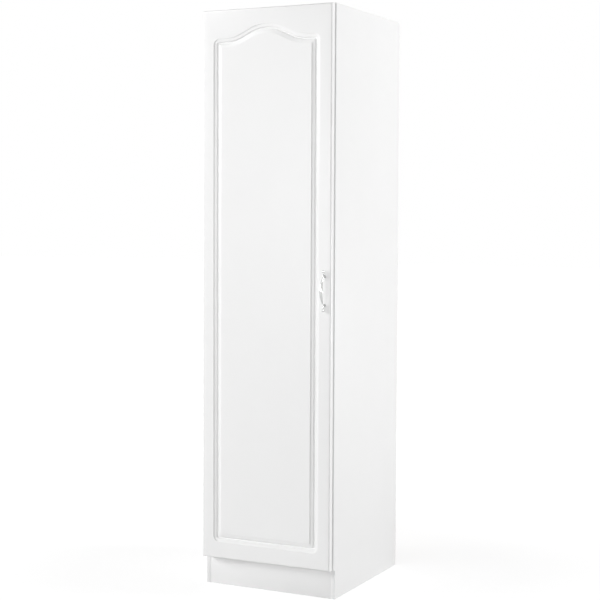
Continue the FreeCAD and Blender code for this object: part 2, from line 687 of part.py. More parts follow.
def turned(outline):
    """Solid turned about Z. The outline runs (radius, z) from axis to axis; an arc has its middle first."""
    edges = []
    here = Vector(outline[0][0], 0, outline[0][1])
    for step in outline[1:] + outline[:1]:
        there = Vector(step[-2], 0, step[-1])
        if len(step) == 4:
            edges.append(Part.Arc(here, Vector(step[0], 0, step[1]), there).toShape())
        else:
            edges.append(Part.makeLine(here, there))
        here = there
    return Part.Face(Part.Wire(edges)).revolve(Vector(0, 0, 0), Vector(0, 0, 1), 360)


def finial(side):
    """Turned end, on an axis parallel to the door: a stem with a bead and a ball."""
    stem, bead = STEM_RADIUS, BEAD_HALF_LENGTH
    outline = [(0, -STEM_INSIDE), (stem, -STEM_INSIDE), (stem, BEAD_OFFSET - bead),
               (BEAD_RADIUS, BEAD_OFFSET, stem, BEAD_OFFSET + bead), (stem, BALL_OFFSET), (0, BALL_OFFSET)]
    end = turned(outline).fuse(Part.makeSphere(BALL_RADIUS, Vector(0, 0, BALL_OFFSET)))
    if side < 0:
        end = end.mirror(Vector(0, 0, 0), Vector(0, 0, 1))
    end.translate(Vector(0, -FINIAL_STANDOFF, side * HANDLE_SPACING / 2))
    return end


def post(z):
    """Turned post: a round foot on the door, waisted under the bow, with a round head."""
    foot, height, top = POST_FOOT_RADIUS, POST_FOOT_HEIGHT, FINIAL_STANDOFF
    outline = [(0, 0), (foot, 0), (foot, height), (POST_FLARE_RADIUS, height),
               (POST_WAIST_RADIUS, top / 2, POST_HEAD_RADIUS, top), (0, top)]
    pillar = turned(outline).fuse(Part.makeSphere(POST_HEAD_RADIUS, Vector(0, 0, top)))
    pillar.rotate(Vector(0, 0, 0), Vector(1, 0, 0), 90)
    pillar.translate(Vector(0, 0, z))
    return pillar


def handle_screws():
    length = DOOR_THICKNESS + HANDLE_HOLE_DEPTH - HANDLE_SCREW_GAP
    return [screw((handle_x(), DOOR_BACK_Y, z), (0, -1, 0), HANDLE_HEAD_RADIUS, HANDLE_HEAD,
                  HANDLE_SCREW_RADIUS, length) for z in handle_posts()]


def door_bumpers():
    """Soft pads on the door's back that meet the front edge of the right side panel."""
    x = HALF - BUMPER_FROM_SIDE
    thickness = DOOR_GAP - BUMPER_PLAY
    return [rod((x, DOOR_BACK_Y, z), (0, 1, 0), BUMPER_RADIUS, thickness) for z in BUMPER_HEIGHTS]


# ---- hinges: built about z = 0 at the carcass's front left corner ------------------------
def at_hinge(solid, z):
    placed = solid.copy()
    placed.translate(Vector(-HALF, FRONT_Y, z))
    return placed


def both_sides(solid):
    return [solid, solid.mirror(Vector(0, 0, 0), Vector(0, 0, 1))]


def eye(x, y, radius, low, high):
    return rod((x, y, low), (0, 0, 1), radius, high - low)


def hinge_cup():
    """Pressed cup with a winged flange and two lugs for the outer link's pins."""
    back = -DOOR_GAP
    floor = back - CUP_DEPTH + CUP_FLOOR_PLAY
    radius = CUP_RADIUS - CUP_PLAY
    ear_x = CUP_CENTRE_X + CUP_SCREW_X
    body = rod((CUP_CENTRE_X, back, 0), (0, -1, 0), radius, back - floor)
    flange = hull_face([(CUP_CENTRE_X, 0, CUP_RADIUS + CUP_RIM), (ear_x, -CUP_SCREW_HALF, CUP_EAR_RADIUS),
                        (ear_x, CUP_SCREW_HALF, CUP_EAR_RADIUS)])
    flange.rotate(Vector(0, 0, 0), Vector(1, 0, 0), 90)
    flange = flange.extrude(Vector(0, CUP_STEEL, 0))
    flange.translate(Vector(0, back, 0))
    brim = (CUP_CENTRE_X, back + CUP_STEEL, 0)
    hollow = rod(brim, (0, -1, 0), radius - CUP_STEEL, back - floor)
    holes = [rod((ear_x, back, dz), (0, 1, 0), CUP_SCREW_RADIUS, CUP_STEEL)
             for dz in (-CUP_SCREW_HALF, CUP_SCREW_HALF)]
    # the side towards the door's edge is open between the lugs, where the links swing out
    reach = CUP_CENTRE_X - CUP_RADIUS + WINDOW_REACH
    half = CHEEK_IN - WINDOW_PLAY
    window = block(0, reach, back - WINDOW_DEPTH, 0, -half, half)
    shell = fused([body, flange]).cut([hollow, window] + holes)
    x, y = CUP_PIVOT_OUTER
    foot = floor + LUG_FOOT_HEIGHT
    lug = hull_face([(x, y, LUG_RADIUS), (x - LUG_FOOT_HALF, foot, LUG_FOOT_RADIUS),
                     (x + LUG_FOOT_HALF, foot, LUG_FOOT_RADIUS)])
    lug = raised(lug, CHEEK_IN, CHEEK_OUT)
    pin_hole = eye(x, y, PIN_RADIUS, CHEEK_IN, CHEEK_OUT)
    return fused([shell] + both_sides(lug)).cut(both_sides(pin_hole))


def cup_pins():
    return both_sides(eye(*CUP_PIVOT_OUTER, PIN_RADIUS, OUTER_LINK_IN, CHEEK_OUT))


def arm_pins():
    return [eye(*pivot, PIN_RADIUS, -CHEEK_OUT, CHEEK_OUT) for pivot in (ARM_PIVOT_OUTER, ARM_PIVOT_INNER)]


def link_plate(start, end, edges, z0, z1, span=(0.0, 1.0)):
    """Flat strip between two offsets from the line of two pivots, over a span of its length."""
    x0, y0 = start
    length = math.hypot(end[0] - x0, end[1] - y0)
    along = ((end[0] - x0) / length, (end[1] - y0) / length)
    across = (along[1], -along[0])
    corners = []
    for part, offset in ((span[0], edges[0]), (span[1], edges[0]), (span[1], edges[1]), (span[0], edges[1])):
        x = x0 + along[0] * part * length + across[0] * offset
        y = y0 + along[1] * part * length + across[1] * offset
        corners.append((x, y))
    return raised(polygon_face(corners), z0, z1)


def outer_link():
    """Forked link: two arms inside the cheeks, joined by a web near the hinge arm."""
    arm, cup = ARM_PIVOT_OUTER, CUP_PIVOT_OUTER
    low, high = OUTER_LINK_IN, OUTER_LINK_OUT
    side = fused([eye(*arm, ARM_EYE_RADIUS, low, high), eye(*cup, OUTER_CUP_EYE_RADIUS, low, high),
                  link_plate(arm, cup, OUTER_PLATE, low, high)])
    web = link_plate(arm, cup, (0.0, OUTER_PLATE[1]), -low, low, OUTER_WEB_SPAN)
    bore = PIN_RADIUS + PIN_PLAY
    return fused(both_sides(side) + [web]).cut([eye(*arm, bore, -high, high), eye(*cup, bore, -high, high)])


def inner_link():
    """Rolled-eye link: pinned to the arm; its other end is free in the cup."""
    arm, cup = ARM_PIVOT_INNER, CUP_PIVOT_INNER
    half = INNER_LINK_HALF
    body = fused([eye(*arm, ARM_EYE_RADIUS, -half, half), eye(*cup, INNER_CUP_EYE_RADIUS, -half, half),
                  link_plate(arm, cup, (-INNER_PLATE_HALF, INNER_PLATE_HALF), -half, half)])
    return body.cut(eye(*arm, PIN_RADIUS + PIN_PLAY, -half, half))


def hinge_arm():
    """U-channel arm: cheeks for the pivot pins at the tip, clipped over the plate behind."""
    ax, ay = ARM_PIVOT_OUTER
    bx, by = ARM_PIVOT_INNER
    bend, corner = ARM_BEND_RADIUS, ARM_CORNER
    tip = hull_face([(bx, by, ARM_NOSE_INNER), (ax, ay, ARM_NOSE_OUTER),
                     (ARM_BACK_X - bend, ARM_BEND_Y, bend), (ARM_EDGE_X + bend, ARM_BEND_Y, bend)])
    rear = hull_face([(ARM_EDGE_X + corner, ARM_BEND_Y, corner), (ARM_BACK_X - corner, ARM_BEND_Y, corner),
                      (ARM_BACK_X - corner, ARM_LENGTH - corner, corner),
                      (ARM_EDGE_X + corner, ARM_LENGTH - corner, corner)])
    body = fused([raised(tip, -CHEEK_OUT, CHEEK_OUT), raised(rear, -CHEEK_OUT, CHEEK_OUT)])
    nose_x = ax + ARM_NOSE_OUTER
    slope = (nose_x - ARM_BACK_X) / (ARM_BEND_Y - ay)
    web_x = nose_x - slope * (ARM_WEB_START - ay) - ARM_SLOPE_STEEL
    inner_x = ARM_BACK_X - ARM_STEEL
    beyond_nose, beyond_tail = -ARM_LENGTH, 2 * ARM_LENGTH
    hollow = polygon_face([(0, beyond_nose), (ARM_LENGTH, beyond_nose), (ARM_LENGTH, ARM_WEB_START),
                           (web_x, ARM_WEB_START), (inner_x, ARM_BEND_Y), (inner_x, beyond_tail),
                           (0, beyond_tail)])
    holes = [eye(*pivot, PIN_RADIUS, -CHEEK_OUT, CHEEK_OUT) for pivot in (ARM_PIVOT_OUTER, ARM_PIVOT_INNER)]
    for y in (FIX_SCREW_Y, ADJUST_SCREW_Y):
        holes.append(rod((inner_x, y, 0), (1, 0, 0), ARM_SCREW_RADIUS + ARM_SCREW_PLAY, ARM_STEEL))
    return body.cut([raised(hollow, -CHEEK_IN, CHEEK_IN)] + holes)


def mounting_plate():
    """Cross-shaped plate on the side panel, with a block that the arm clips over."""
    y, half = SYSTEM_FRONT, PLATE_SCREW_HALF
    thickness = PLATE_TOP - BOARD
    wing = raised(hull_face([(y, -half, PLATE_WING_RADIUS), (y, half, PLATE_WING_RADIUS)]), 0, PLATE_WING)
    corner = PLATE_CORNER
    start, end, side = PLATE_START + corner, PLATE_END - corner, PLATE_HALF_WIDTH - corner
    core = hull_face([(start, -side, corner), (end, -side, corner),
                      (end, side, corner), (start, side, corner)])
    plate = fused([wing, raised(core, 0, thickness)])
    holes = [Part.makeCone(SYSTEM_HOLE_RADIUS, PLATE_SCREW_HEAD_RADIUS, PLATE_WING, Vector(y, dz, 0))
             for dz in (-half, half)]
    thread_start = Vector(FIX_SCREW_Y, 0, thickness - PLATE_THREAD_DEPTH)
    holes.append(Part.makeCylinder(ARM_SCREW_RADIUS, PLATE_THREAD_DEPTH, thread_start))
    plate = plate.cut(holes)
    # the plate lies in the XY plane; turn its thickness to +X, its length to +Y and its width to +Z
    plate.rotate(Vector(0, 0, 0), Vector(1, 1, 1), 120)
    plate.translate(Vector(BOARD, 0, 0))
    return plate


def plate_screws():
    """Countersunk system screws through the wings into the side panel."""
    screws = []
    for dz in (-PLATE_SCREW_HALF, PLATE_SCREW_HALF):
        seat = Vector(BOARD, SYSTEM_FRONT, dz)
        out = Vector(1, 0, 0)
        head = Part.makeCone(SYSTEM_HOLE_RADIUS, PLATE_SCREW_HEAD_RADIUS, PLATE_WING, seat, out)
        shank = rod(seat, -out, SYSTEM_HOLE_RADIUS - SUPPORT_PLAY, PLATE_SCREW_LENGTH)
        screws.append(fused([head, shank]))
    return screws


def arm_screws():
    """The fixing screw into the plate and the side adjusting screw that bears on it."""
    tips = ((FIX_SCREW_Y, PLATE_TOP - PLATE_THREAD_DEPTH + SCREW_END_PLAY), (ADJUST_SCREW_Y, PLATE_TOP))
    return [screw((ARM_BACK_X, y, 0), (-1, 0, 0), ARM_HEAD_RADIUS, ARM_HEAD, ARM_SCREW_RADIUS,
                  ARM_BACK_X - tip) for y, tip in tips]


def cup_screws():
    seat_y = DOOR_BACK_Y + CUP_STEEL
    length = CUP_STEEL + CUP_SCREW_LENGTH - SCREW_END_PLAY
    return [screw((x, seat_y, z), (0, -1, 0), CUP_HEAD_RADIUS, CUP_HEAD, CUP_SCREW_RADIUS, length)
            for x, z in cup_screw_spots()]


# ---- write the pieces --------------------------------------------------------------------
def build():
    write("side_panel_left", [side_panel(True)])
    write("side_panel_right", [mirrored_x(side_panel(False))])
    write("bottom_panel", [bottom_panel()])
    write("top_panel", [top_panel()])
    write("fixed_shelf", [fixed_shelf()])
    write("adjustable_shelf", [adjustable_shelf()])
    write("shelf_pins", shelf_pins())
    write("plinth_board", [plinth_board()])
    write("back_panel_lower", [back_panel_lower()])
    write("back_panel_upper", [back_panel_upper()])
    write("back_joint_strip", [back_joint_strip()])
    cams, bolts = cams_and_bolts()
    write("cam_locks", cams)
    write("cam_bolts", bolts)
    write("wooden_dowels", wooden_dowels())
    for name, x in zip(("wall_bracket_left", "wall_bracket_right"), bracket_centres()):
        write(name, [wall_bracket(x)])
    write("wall_bracket_screws", wall_bracket_screws())
    write("door_panel", [door_panel()])
    write("handle_bow", [handle_bow()])
    write("handle_screws", handle_screws())
    write("door_bumpers", door_bumpers())
    build_hinges()


def build_hinges():
    single = {"hinge_cup": hinge_cup(), "hinge_arm": hinge_arm(), "mounting_plate": mounting_plate(),
              "outer_link": outer_link(), "inner_link": inner_link()}
    for number, z in enumerate(HINGE_HEIGHTS, 1):
        for name, solid in single.items():
            write(name + "_" + str(number), [at_hinge(solid, z)])
    grouped = {"hinge_cup_pins": cup_pins(), "hinge_arm_pins": arm_pins(), "plate_screws": plate_screws(),
               "arm_screws": arm_screws()}
    for name, solids in grouped.items():
        write(name, [at_hinge(solid, z) for z in HINGE_HEIGHTS for solid in solids])
    write("cup_screws", cup_screws())


build()
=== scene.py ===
"""Looks of the broom cupboard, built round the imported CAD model. Metres, +Z up, door at -Y."""

import json
import math

import bmesh
import bpy
from mathutils import Matrix, Vector


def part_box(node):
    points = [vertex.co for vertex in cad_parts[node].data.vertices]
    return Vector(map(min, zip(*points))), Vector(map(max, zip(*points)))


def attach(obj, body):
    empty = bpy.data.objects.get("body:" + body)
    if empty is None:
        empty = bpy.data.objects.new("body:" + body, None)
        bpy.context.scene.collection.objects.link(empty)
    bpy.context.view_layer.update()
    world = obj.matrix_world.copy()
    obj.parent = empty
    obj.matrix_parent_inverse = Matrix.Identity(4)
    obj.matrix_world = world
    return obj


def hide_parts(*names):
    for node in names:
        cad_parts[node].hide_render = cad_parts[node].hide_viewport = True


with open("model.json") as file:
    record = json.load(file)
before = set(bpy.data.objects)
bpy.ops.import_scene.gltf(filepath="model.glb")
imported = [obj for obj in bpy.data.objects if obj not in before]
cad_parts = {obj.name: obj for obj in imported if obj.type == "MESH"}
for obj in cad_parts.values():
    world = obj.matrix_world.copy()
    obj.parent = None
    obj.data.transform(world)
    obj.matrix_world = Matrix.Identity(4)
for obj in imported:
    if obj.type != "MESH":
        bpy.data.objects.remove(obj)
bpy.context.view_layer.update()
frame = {"nodes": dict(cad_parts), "record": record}

MM = 0.001

# ---- camera and studio -------------------------------------------------------------------
CAMERA_PLACE = (2.2231, -4.4606, 1.2982)
CAMERA_YAW = 0.4628          # to the left of straight at the door, radians
CAMERA_PITCH = -0.0603
CAMERA_ROLL = 0.0043
CAMERA_LENS = 83.81          # mm on a 36 mm sensor
CAMERA_REACH = 100.0

WORLD_LEVEL = 0.12           # what the world lights with; seen rays meet white
FLOOR_HALF = 30.0
FLOOR_COLOUR = (0.6, 0.6, 0.6, 1)           # as the light meets it
FLOOR_SEEN_COLOUR = (0.25, 0.25, 0.25, 1)   # as seen rays meet it: the share that shadows take away
FLOOR_GLOW_NEAR, FLOOR_GLOW_FAR = 0.84, 1.0
FLOOR_NEAR, FLOOR_FAR = 0.8, 2.6            # distances between which the glow rises to white

# area lights: place, what they face, width, height, watts
LIGHTS = {
    "left_far": ((-10.0, -8.1, 6.1), (0, -0.27, 1.1), 6.4, 4.8, 690.0),
    "left_near": ((-7.0, -3.4, 2.6), (0, -0.27, 1.1), 3.0, 3.0, 248.0),
    "front": ((-2.0, -6.5, 1.5), (0, -0.27, 1.1), 1.2, 1.6, 55.0),
    "right_front": ((3.4, -7.4, 1.8), (0, -0.27, 1.1), 2.0, 2.0, 120.0),
    "side_high": ((6.6, 2.4, 4.7), (0.25, 0, 1.1), 2.0, 1.6, 290.0),
    "side_low": ((9.8, 6.0, 0.25), (0.25, 0, 1.1), 3.2, 0.5, 395.0),
}

# ---- door: the CAD's own values ----------------------------------------------------------
DOOR_EDGE_RADIUS = 6.0 * MM
DOOR_BACK_RADIUS = 2.0 * MM
STILE = 44.5 * MM            # door edge to the moulding's outer edge
RAIL_BOTTOM = 57.5 * MM
SHOULDER_DROP = 97.5 * MM
PEAK_DROP = 54.5 * MM
ARCH_ANGLE = math.radians(24.5)
ARCH_RADIUS = 150 * MM
SHOULDER_RADIUS = 120 * MM
MOULD_HALF = 15 * MM
QUIRK_DEPTH = 2.5 * MM
CHANNEL_HALF = 4.5 * MM
CHANNEL_DEPTH = 6.3 * MM
CORNER_RADIUS = 6 * MM
LIP = 0.2 * MM               # rounding of the foil over the moulding's arrises
CUP_RADIUS = 17.5 * MM
CUP_PLAY = 0.05 * MM         # between the cup's flange edge and its pocket
CUP_DEPTH = 12.5 * MM

# facets along each stretch of the door's curves
CORNER_STEPS = 10
SIDE_STEPS = 60
FOOT_STEPS = 12
FLAT_STEPS = 2
CURVE_STEPS = 12
SLOPE_STEPS = 5
LIP_STEPS = 4
QUIRK_STEPS = 3
CHANNEL_STEPS = 9
EDGE_STEPS = 8
BACK_STEPS = 4
CUP_FACETS = 48
WELD = 0.001 * MM            # points closer than this are one
CREASE = 50                  # degrees from which an edge shows as sharp

# ---- boards and screws -------------------------------------------------------------------
BOARD_NODES = ("side_panel_left", "side_panel_right", "bottom_panel", "top_panel", "fixed_shelf",
               "adjustable_shelf", "plinth_board")
BOARD_EASE = 0.5 * MM
LONG_EDGE = 12 * MM          # shorter edges are the facets of bores
THICKEST_BOARD = 20 * MM
TOUCH = 0.05 * MM
EASE_SEGMENTS = 3
FLAT_ANGLE = math.radians(0.5)
SHARP_ANGLE = math.radians(60)
FACING = 0.9                 # a face's normal counts as along an axis from here
SQUARE_ON = 0.9999           # and as exactly along it from here

# screws: which way the head faces, head height, shank radius, countersunk
SCREWS = {
    "plate_screws": ((1, 0, 0), 2.0 * MM, 2.45 * MM, True),
    "arm_screws": ((1, 0, 0), 1.8 * MM, 2.5 * MM, False),
    "cup_screws": ((0, 1, 0), 1.3 * MM, 1.75 * MM, False),
    "wall_bracket_screws": ((0, 0, -1), 1.8 * MM, 1.75 * MM, False),
    "handle_screws": ((0, 1, 0), 2.2 * MM, 2.0 * MM, False),
}
SCREW_FACETS = 32
SCREW_CREASE = 35
ARRIS = 0.1 * MM
HEAD_EASE = 0.35             # rounding of a raised head, as a share of its height
POINT = 0.25                 # width of the point, as a share of the shank
RECESS_REACH = 0.62          # shares of the head's radius
RECESS_HALF = 0.14
RECESS_FOOT = 0.45           # the recess narrows to this share of its mouth
RECESS_DEPTH = 0.75          # share of the head's height

bodies = frame["record"]["behaviour"]["bodies"]
owner = {node: body for body, nodes in bodies.items() for node in nodes}
slot_of = {row["node"]: row["material_slot"] for row in frame["record"]["subparts"]}


def link(obj):
    bpy.context.scene.collection.objects.link(obj)
    return obj


# ---- camera, lights, floor ---------------------------------------------------------------
def make_camera():
    data = bpy.data.cameras.new("camera")
    data.lens = CAMERA_LENS
    data.clip_end = CAMERA_REACH
    camera = link(bpy.data.objects.new("camera", data))
    turn = Matrix.Rotation(CAMERA_YAW, 4, "Z") @ Matrix.Rotation(math.pi / 2 + CAMERA_PITCH, 4, "X")
    camera.matrix_world = Matrix.Translation(CAMERA_PLACE) @ turn @ Matrix.Rotation(CAMERA_ROLL, 4, "Z")
    bpy.context.scene.camera = camera


def make_lights():
    for name, (place, target, width, height, watts) in LIGHTS.items():
        data = bpy.data.lights.new(name, "AREA")
        data.shape = "RECTANGLE"
        data.size, data.size_y = width, height
        data.energy = watts
        lamp = link(bpy.data.objects.new(name, data))
        lamp.location = place
        way = Vector(target) - Vector(place)
        lamp.rotation_euler = way.to_track_quat("-Z", "Y").to_euler()


def seen_rays(nodes, links):
    """1 for rays that show the background: to the camera, in a reflection, through glass."""
    path = nodes.new("ShaderNodeLightPath")
    first = nodes.new("ShaderNodeMath")
    first.operation = "MAXIMUM"
    links.new(path.outputs["Is Camera Ray"], first.inputs[0])
    links.new(path.outputs["Is Glossy Ray"], first.inputs[1])
    both = nodes.new("ShaderNodeMath")
    both.operation = "MAXIMUM"
    links.new(first.outputs[0], both.inputs[0])
    links.new(path.outputs["Is Transmission Ray"], both.inputs[1])
    return both.outputs[0]


def make_world():
    world = bpy.data.worlds.new("studio")
    world.use_nodes = True
    nodes, links = world.node_tree.nodes, world.node_tree.links
    nodes.clear()
    light = nodes.new("ShaderNodeBackground")
    light.inputs["Color"].default_value = (1, 1, 1, 1)
    light.inputs["Strength"].default_value = WORLD_LEVEL
    white = nodes.new("ShaderNodeBackground")
    white.inputs["Color"].default_value = (1, 1, 1, 1)
    mix = nodes.new("ShaderNodeMixShader")
    out = nodes.new("ShaderNodeOutputWorld")
    links.new(seen_rays(nodes, links), mix.inputs[0])
    links.new(light.outputs[0], mix.inputs[1])
    links.new(white.outputs[0], mix.inputs[2])
    links.new(mix.outputs[0], out.inputs[0])
    bpy.context.scene.world = world


def make_floor():
    mesh = bpy.data.meshes.new("floor")
    f = FLOOR_HALF
    mesh.from_pydata([(-f, -f, 0), (f, -f, 0), (f, f, 0), (-f, f, 0)], [], [(0, 1, 2, 3)])
    floor = link(bpy.data.objects.new("floor", mesh))
    mat = bpy.data.materials.new("floor")
    mat.use_nodes = True
    nodes, links = mat.node_tree.nodes, mat.node_tree.links
    nodes.clear()
    plain = nodes.new("ShaderNodeBsdfDiffuse")
    plain.inputs["Color"].default_value = FLOOR_COLOUR
    seen = nodes.new("ShaderNodeBsdfDiffuse")
    seen.inputs["Color"].default_value = FLOOR_SEEN_COLOUR
    glow = nodes.new("ShaderNodeEmission")
    coords = nodes.new("ShaderNodeTexCoord")
    away = nodes.new("ShaderNodeVectorMath")
    away.operation = "LENGTH"
    links.new(coords.outputs["Object"], away.inputs[0])
    rise = nodes.new("ShaderNodeMapRange")
    span = (FLOOR_NEAR, FLOOR_FAR, FLOOR_GLOW_NEAR, FLOOR_GLOW_FAR)
    for socket, number in zip(rise.inputs[1:5], span):
        socket.default_value = number
    links.new(away.outputs["Value"], rise.inputs[0])
    links.new(rise.outputs[0], glow.inputs["Strength"])
    lit = nodes.new("ShaderNodeAddShader")
    mix = nodes.new("ShaderNodeMixShader")
    out = nodes.new("ShaderNodeOutputMaterial")
    links.new(seen.outputs[0], lit.inputs[0])
    links.new(glow.outputs[0], lit.inputs[1])
    links.new(seen_rays(nodes, links), mix.inputs[0])
    links.new(plain.outputs[0], mix.inputs[1])
    links.new(lit.outputs[0], mix.inputs[2])
    links.new(mix.outputs[0], out.inputs["Surface"])
    mesh.materials.append(mat)


# ---- materials ---------------------------------------------------------------------------
class Look:
    """A principled material, with the few kinds of node that the surfaces share."""

    def __init__(self, name, colour, roughness, metallic=0.0):
        self.material = bpy.data.materials.new(name)
        self.material.use_nodes = True
        self.nodes = self.material.node_tree.nodes
        self.links = self.material.node_tree.links
        self.shader = self.nodes["Principled BSDF"]
        self.shader.inputs["Base Color"].default_value = (*colour, 1)
        self.shader.inputs["Roughness"].default_value = roughness
        self.shader.inputs["Metallic"].default_value = metallic
        self.coords = self.nodes.new("ShaderNodeTexCoord")

    def scaled(self, scale, stretch):
        mapping = self.nodes.new("ShaderNodeMapping")
        mapping.inputs["Scale"].default_value = [scale * s for s in stretch]
        self.links.new(self.coords.outputs["Object"], mapping.inputs["Vector"])
        return mapping.outputs[0]

    def noise(self, size, detail=3.0, stretch=(1, 1, 1)):
        """Noise with features of the given size in metres; a small stretch draws them out."""
        texture = self.nodes.new("ShaderNodeTexNoise")
        texture.inputs["Scale"].default_value = 1.0
        texture.inputs["Detail"].default_value = detail
        self.links.new(self.scaled(1 / size, stretch), texture.inputs["Vector"])
        return texture.outputs["Fac"]

    def cells(self, size, stretch=(1, 1, 1)):
        texture = self.nodes.new("ShaderNodeTexVoronoi")
        texture.inputs["Scale"].default_value = 1.0
        self.links.new(self.scaled(1 / size, stretch), texture.inputs["Vector"])
        return texture

    def ranged(self, value, low, high, start=0.35, end=0.65):
        node = self.nodes.new("ShaderNodeMapRange")
        for socket, number in zip(node.inputs[1:5], (start, end, low, high)):
            socket.default_value = number
        self.links.new(value, node.inputs[0])
        return node.outputs[0]

    def blend(self, factor, first, second):
        """Colour from first to second, each a colour or an output."""
        node = self.nodes.new("ShaderNodeMix")
        node.data_type = "RGBA"
        self.links.new(factor, node.inputs["Factor"])
        for socket, value in zip(node.inputs[6:8], (first, second)):
            if isinstance(value, tuple):
                socket.default_value = (*value, 1)
            else:
                self.links.new(value, socket)
        return node.outputs[2]

    def colour(self, value):
        self.links.new(value, self.shader.inputs["Base Color"])

    def rough(self, value, low, high):
        self.links.new(self.ranged(value, low, high), self.shader.inputs["Roughness"])

    def bump(self, height, depth):
        node = self.nodes.new("ShaderNodeBump")
        node.inputs["Distance"].default_value = depth
        self.links.new(height, node.inputs["Height"])
        self.links.new(node.outputs[0], self.shader.inputs["Normal"])


def melamine():
    """White melamine: a fine pearl grain, a little uneven in its sheen."""
    look = Look("white_board", (0.87, 0.87, 0.87), 0.42)
    look.colour(look.blend(look.noise(0.11), (0.862, 0.862, 0.860), (0.878, 0.878, 0.877)))
    look.rough(look.noise(0.006), 0.36, 0.48)
    look.bump(look.noise(0.0011, 2.0), 0.012 * MM)
    return look.material


def foil():
    """Satin thermofoil with the faint orange peel it takes from the fibreboard."""
    look = Look("door_foil", (0.9, 0.9, 0.9), 0.32)
    look.colour(look.blend(look.noise(0.14), (0.894, 0.894, 0.892), (0.906, 0.906, 0.905)))
    look.rough(look.noise(0.012), 0.28, 0.36)
    look.bump(look.noise(0.0032, 2.0), 0.012 * MM)
    return look.material


def chipboard():
    """Raw sawn edge of chipboard: flakes of different browns with open pores."""
    look = Look("chipboard_edge", (0.5, 0.36, 0.2), 0.85)
    flakes = look.cells(0.0024)
    tone = look.blend(flakes.outputs["Color"], (0.36, 0.24, 0.13), (0.66, 0.50, 0.31))
    look.colour(look.blend(look.ranged(look.noise(0.0009), 0.0, 1.0), tone, (0.56, 0.42, 0.25)))
    look.bump(flakes.outputs["Distance"], 0.12 * MM)
    return look.material


def hardboard():
    """White lacquer on the front; the back is brown fibre with the press's screen pattern."""
    look = Look("hardboard", (0.85, 0.85, 0.84), 0.5)
    normal = look.nodes.new("ShaderNodeSeparateXYZ")
    look.links.new(look.coords.outputs["Normal"], normal.inputs[0])
    behind = look.ranged(normal.outputs["Y"], 0.0, 1.0, 0.1, 0.2)
    fibre = look.noise(0.0035, 4.0, (1, 1, 0.45))
    brown = look.blend(look.ranged(fibre, 0.0, 1.0), (0.23, 0.125, 0.06), (0.40, 0.245, 0.13))
    white = look.blend(look.noise(0.09), (0.845, 0.845, 0.835), (0.862, 0.862, 0.855))
    look.colour(look.blend(behind, white, brown))
    look.links.new(look.ranged(behind, 0.45, 0.8, 0.0, 1.0), look.shader.inputs["Roughness"])
    screen = look.cells(0.0016).outputs["Distance"]
    height = look.nodes.new("ShaderNodeMath")
    height.operation = "MULTIPLY"
    look.links.new(screen, height.inputs[0])
    look.links.new(behind, height.inputs[1])
    look.bump(height.outputs[0], 0.25 * MM)
    return look.material


def plastic():
    look = Look("white_plastic", (0.86, 0.86, 0.85), 0.4)
    look.colour(look.blend(look.noise(0.05), (0.85, 0.85, 0.84), (0.87, 0.87, 0.86)))
    look.rough(look.noise(0.002), 0.34, 0.46)
    look.bump(look.noise(0.0007, 2.0), 0.01 * MM)
    return look.material


def nickel():
    """Bright nickel plate over rolled steel, with faint drawing marks."""
    look = Look("nickel_steel", (0.69, 0.675, 0.65), 0.26, 1.0)
    marks = look.noise(0.0006, 3.0, (1, 1, 0.06))
    look.colour(look.blend(look.noise(0.008), (0.66, 0.645, 0.62), (0.73, 0.715, 0.69)))
    look.rough(marks, 0.20, 0.27)
    look.bump(marks, 0.0015 * MM)
    return look.material


def zinc():
    look = Look("cast_zinc", (0.55, 0.55, 0.56), 0.42, 1.0)
    look.colour(look.blend(look.noise(0.003), (0.47, 0.47, 0.48), (0.62, 0.62, 0.63)))
    look.rough(look.noise(0.0012), 0.34, 0.52)
    look.bump(look.noise(0.0005, 4.0), 0.03 * MM)
    return look.material


def chrome():
    """Polished chrome at chromium's own reflectance; faint waviness softens what it mirrors."""
    look = Look("chrome", (0.550, 0.556, 0.554), 0.07, 1.0)
    look.colour(look.blend(look.noise(0.012), (0.540, 0.546, 0.544), (0.560, 0.566, 0.564)))
    look.rough(look.noise(0.004), 0.04, 0.10)
    look.bump(look.noise(0.006, 1.0), 0.01 * MM)
    return look.material


def beech():
    """Turned beech with its grain and short flecks along the dowel."""
    look = Look("beech", (0.72, 0.52, 0.33), 0.55)
    grain = look.blend(look.ranged(look.noise(0.0012, 4.0, (0.12, 1, 1)), 0.0, 1.0),
                       (0.60, 0.41, 0.25), (0.78, 0.60, 0.40))
    fleck = look.ranged(look.noise(0.0004, 1.0, (0.3, 1, 1)), 0.0, 1.0, 0.62, 0.7)
    look.colour(look.blend(fleck, grain, (0.45, 0.28, 0.15)))
    look.bump(look.noise(0.0009, 3.0, (0.15, 1, 1)), 0.05 * MM)
    return look.material


def bumper():
    """Clear soft urethane, slightly hazy."""
    look = Look("clear_bumper", (0.93, 0.95, 0.95), 0.22)
    look.shader.inputs["Transmission Weight"].default_value = 0.8
    look.shader.inputs["IOR"].default_value = 1.45
    look.rough(look.noise(0.002), 0.16, 0.3)
    look.bump(look.noise(0.003, 2.0), 0.02 * MM)
    return look.material


# ---- mesh building -----------------------------------------------------------------------
def stand_in(name, bm, node, looks, crease=CREASE):
    """Make the object of a finished bmesh, in place of a CAD node."""
    mesh = bpy.data.meshes.new(name)
    bm.to_mesh(mesh)
    bm.free()
    mesh.set_sharp_from_angle(angle=math.radians(crease))
    for material in looks:
        mesh.materials.append(material)
    piece = link(bpy.data.objects.new(name, mesh))
    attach(piece, owner[node])
    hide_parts(node)


def arc_points(centre, radius, start, end, count):
    """Points (x, z) with outward normals along an arc, ends included."""
    made = []
    for i in range(count + 1):
        a = start + (end - start) * i / count
        n = (math.cos(a), math.sin(a))
        made.append(((centre[0] + radius * n[0], centre[1] + radius * n[1]), n))
    return made


